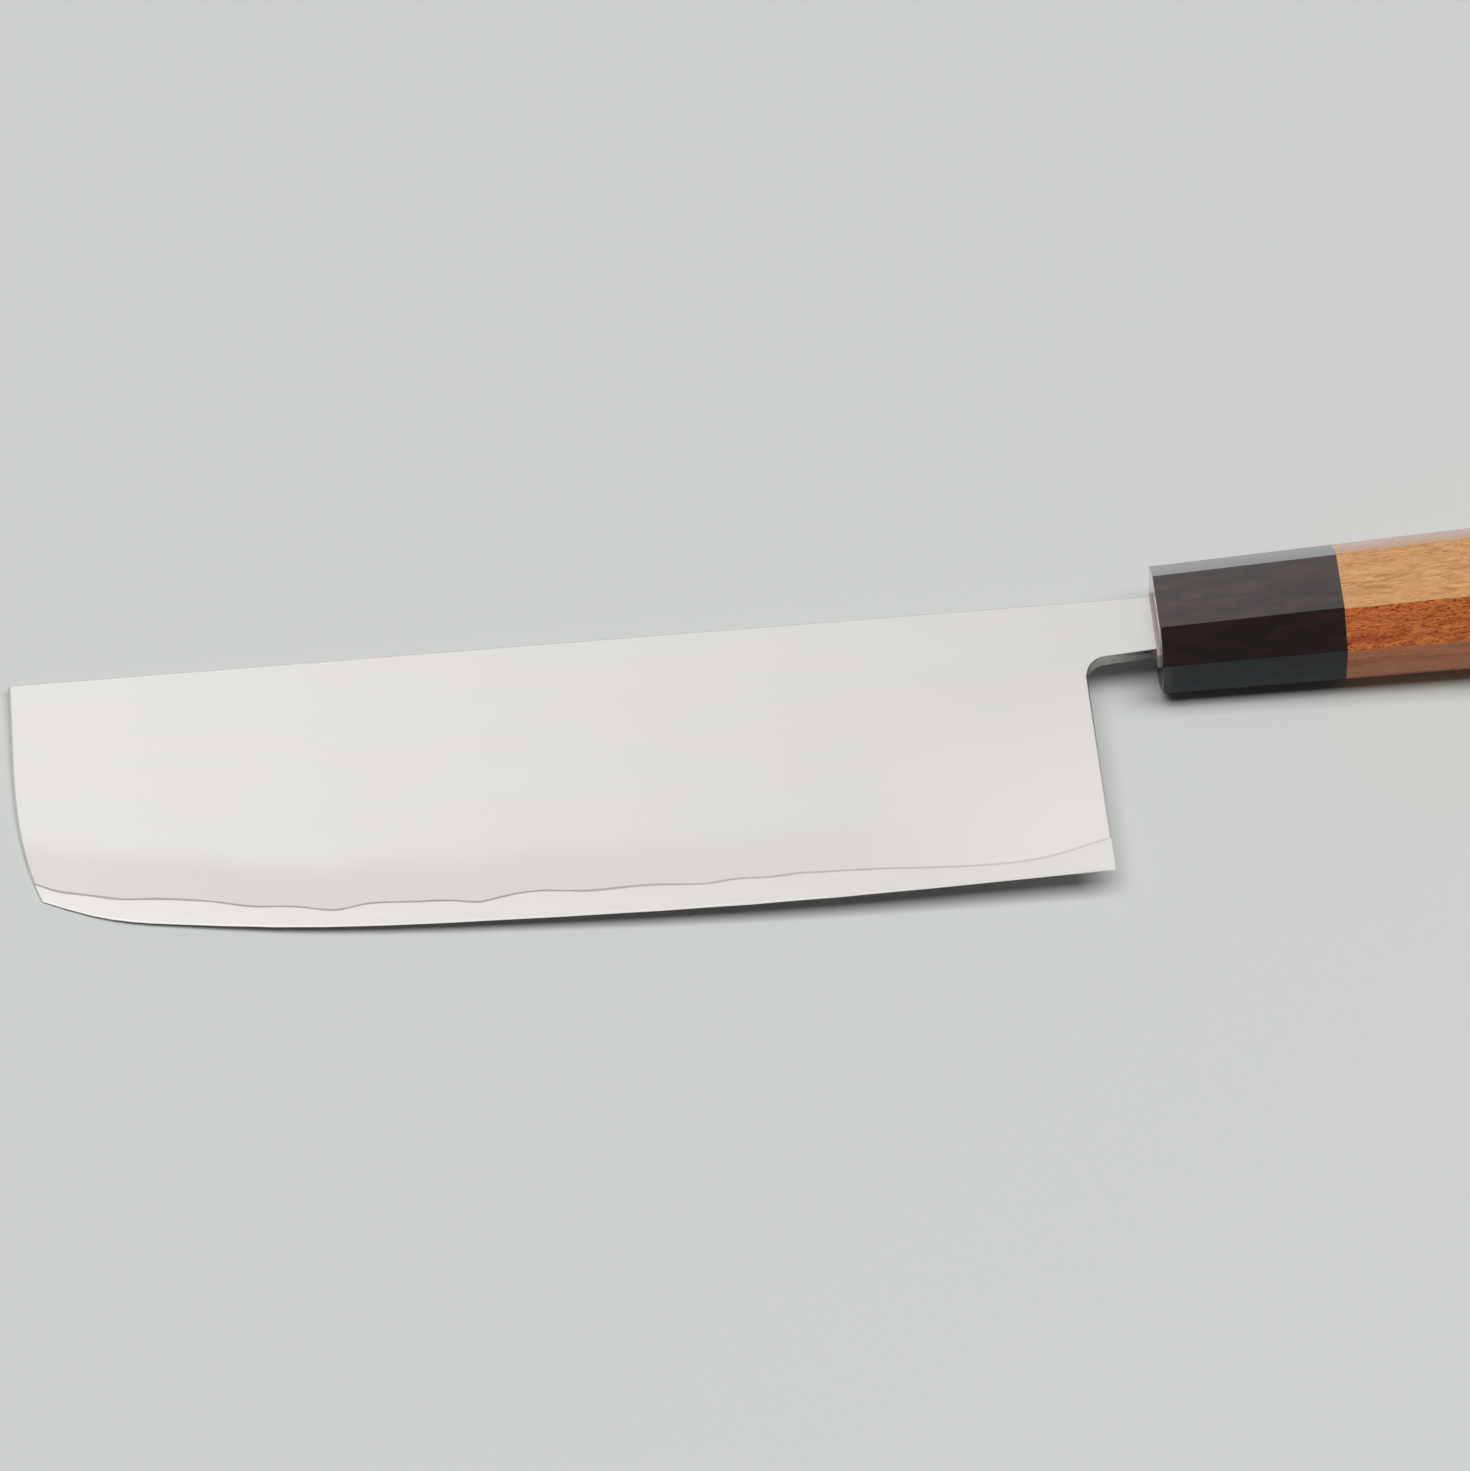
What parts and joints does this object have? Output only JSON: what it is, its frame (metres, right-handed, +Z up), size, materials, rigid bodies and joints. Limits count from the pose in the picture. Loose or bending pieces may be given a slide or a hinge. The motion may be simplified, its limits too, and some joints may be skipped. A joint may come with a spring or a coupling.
{
  "type": "nakiri knife",
  "caption": "Straight-backed vegetable knife with a layered steel blade, a hidden tang, a dark ferrule and a tapered octagonal wooden handle, for chopping and slicing.",
  "frame": {"origin": "middle of the knife's outline as seen from above, on the table that it lies on", "axes": "+X along the handle towards its butt, so the blade points to -X; +Y towards the spine, with the cutting edge towards -Y; +Z up from the table, out of the blade's left side"},
  "size_m": [0.3108, 0.0525, 0.025],
  "materials": {
    "core_steel": "satin",
    "cladding": "satin",
    "ferrule_wood": "satin",
    "handle_wood": "satin",
    "dowel_wood": "matte",
    "resin": "gloss",
    "wax": "satin"
  },
  "bodies": {
    "root": {"core_steel": "core_steel", "left_cladding": "cladding", "right_cladding": "cladding", "ferrule": "ferrule_wood", "handle_body": "handle_wood", "dowel": "dowel_wood", "tang_resin": "resin", "neck_wax": "wax"}
  },
  "joints": []
}
